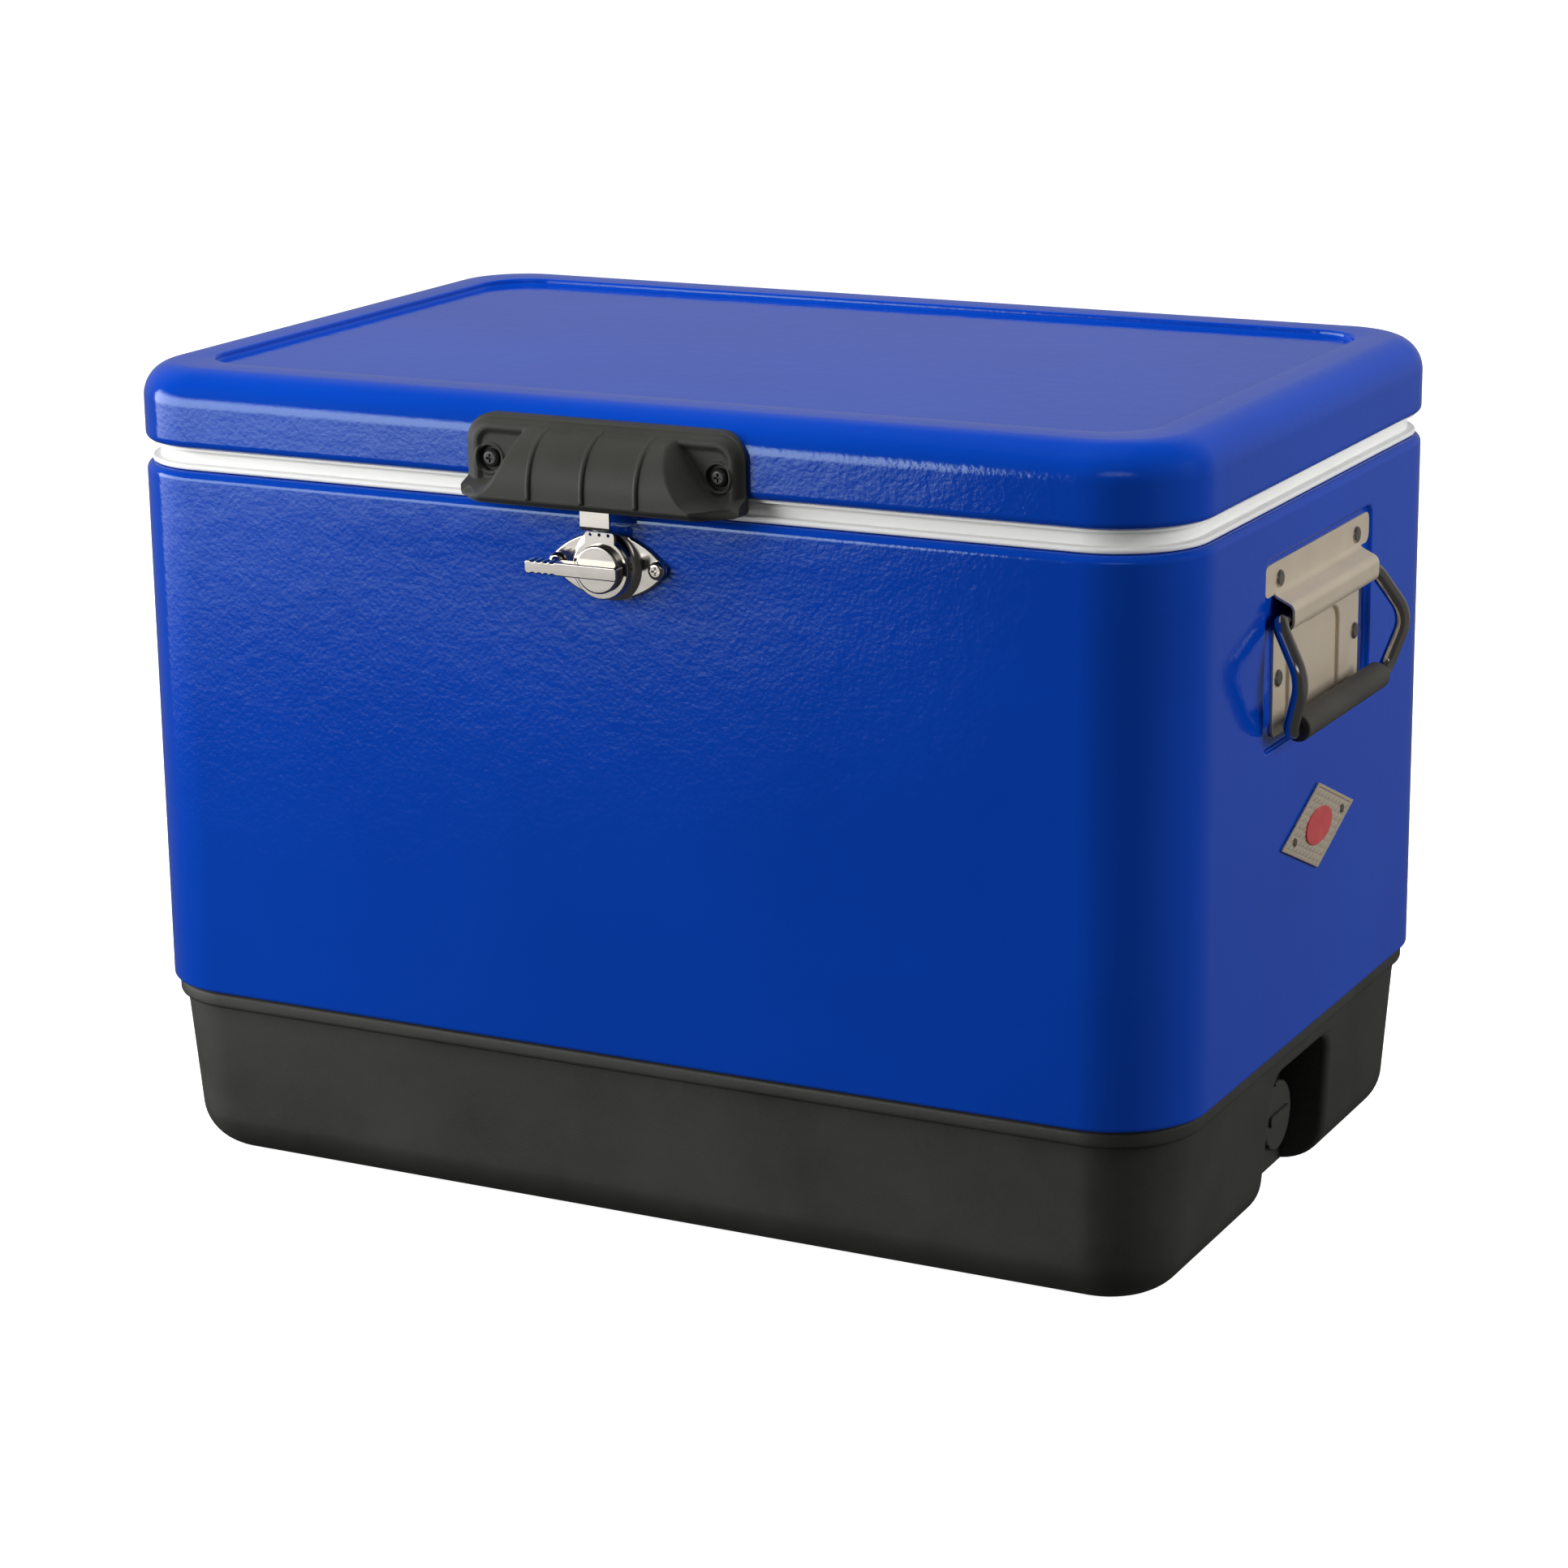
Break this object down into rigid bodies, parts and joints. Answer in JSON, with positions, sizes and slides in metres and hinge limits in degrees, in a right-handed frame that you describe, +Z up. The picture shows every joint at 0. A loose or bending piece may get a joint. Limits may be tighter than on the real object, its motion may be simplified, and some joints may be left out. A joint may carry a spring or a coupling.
{
  "type": "cooler chest",
  "caption": "Steel-belted insulated ice chest with hinged lid, front twist latch, swinging bail handles and screw-cap drain.",
  "frame": {"origin": "centre of the base's underside, on the surface the chest stands on", "axes": "+X towards the end with the drain, -Y towards the latch, +Z up"},
  "size_m": [0.6442, 0.4278, 0.434],
  "materials": {
    "blue_paint": "gloss",
    "base_plastic": "matte",
    "liner_plastic": "satin",
    "foam": "matte",
    "drain_plastic": "matte",
    "gasket_rubber": "matte",
    "stainless": "satin",
    "rivet_steel": "satin",
    "nickel": "polished",
    "grip_rubber": "matte",
    "grip_plastic": "matte",
    "black_screw": "gloss",
    "nameplate_metal": "satin",
    "emblem_enamel": "gloss"
  },
  "bodies": {
    "chest": {"base_tub": "base_plastic", "steel_belt": "blue_paint", "inner_liner": "liner_plastic", "body_foam": "foam", "drain_spout": "drain_plastic", "drain_nut": "drain_plastic", "handle_plate_right": "stainless", "handle_plate_left": "stainless", "handle_rivets_right": "rivet_steel", "handle_rivets_left": "rivet_steel", "nameplate": "nameplate_metal", "nameplate_emblem": "emblem_enamel", "nameplate_rivets": "rivet_steel", "latch_escutcheon": "nickel", "latch_screws": "nickel", "hinge_leaf_body_left": "stainless", "hinge_leaf_body_right": "stainless", "hinge_rivets_body": "rivet_steel", "hinge_pin_left": "nickel", "hinge_pin_right": "nickel"},
    "lid": {"lid_shell": "blue_paint", "lid_liner": "liner_plastic", "lid_foam": "foam", "lid_grip": "grip_plastic", "lid_grip_screws": "black_screw", "latch_strike": "nickel", "hinge_leaf_lid_left": "stainless", "hinge_leaf_lid_right": "stainless", "hinge_rivets_lid": "rivet_steel"},
    "latch": {"latch_rotor": "nickel", "latch_lever": "nickel", "latch_spindle": "nickel"},
    "bail_right": {"bail_rod_right": "nickel", "bail_grip_right": "grip_rubber"},
    "bail_left": {"bail_rod_left": "nickel", "bail_grip_left": "grip_rubber"},
    "drain_collar": {"drain_tether": "drain_plastic"},
    "drain_cap": {"drain_cap": "drain_plastic", "drain_gasket": "gasket_rubber"}
  },
  "joints": [
    {"name": "lid_hinge", "type": "hinge", "parent": "chest", "child": "lid", "pos_m": [0, 0.2006, 0.3882], "axis": [-1, 0, 0], "range_deg": [0, 100]},
    {"name": "latch_turn", "type": "hinge", "parent": "chest", "child": "latch", "pos_m": [0, -0.205, 0.355], "axis": [0, -1, 0], "range_deg": [0, 90]},
    {"name": "bail_right_swing", "type": "hinge", "parent": "chest", "child": "bail_right", "pos_m": [0.304, 0, 0.328], "axis": [0, -1, 0], "range_deg": [0, 110]},
    {"name": "bail_left_swing", "type": "hinge", "parent": "chest", "child": "bail_left", "pos_m": [-0.304, 0, 0.328], "axis": [0, 1, 0], "range_deg": [0, 110]},
    {"name": "drain_slide", "type": "slide", "parent": "chest", "child": "drain_collar", "axis": [1, 0, 0], "range_m": [0, 0.0045]},
    {"name": "drain_turn", "type": "hinge", "parent": "drain_collar", "child": "drain_cap", "pos_m": [0.275, 0.011, 0.042], "axis": [1, 0, 0], "range_deg": [0, 540]}
  ],
  "couplings": [
    {"joint": "drain_slide", "follows": "drain_turn", "m_per_rad": 0.00047746}
  ]
}
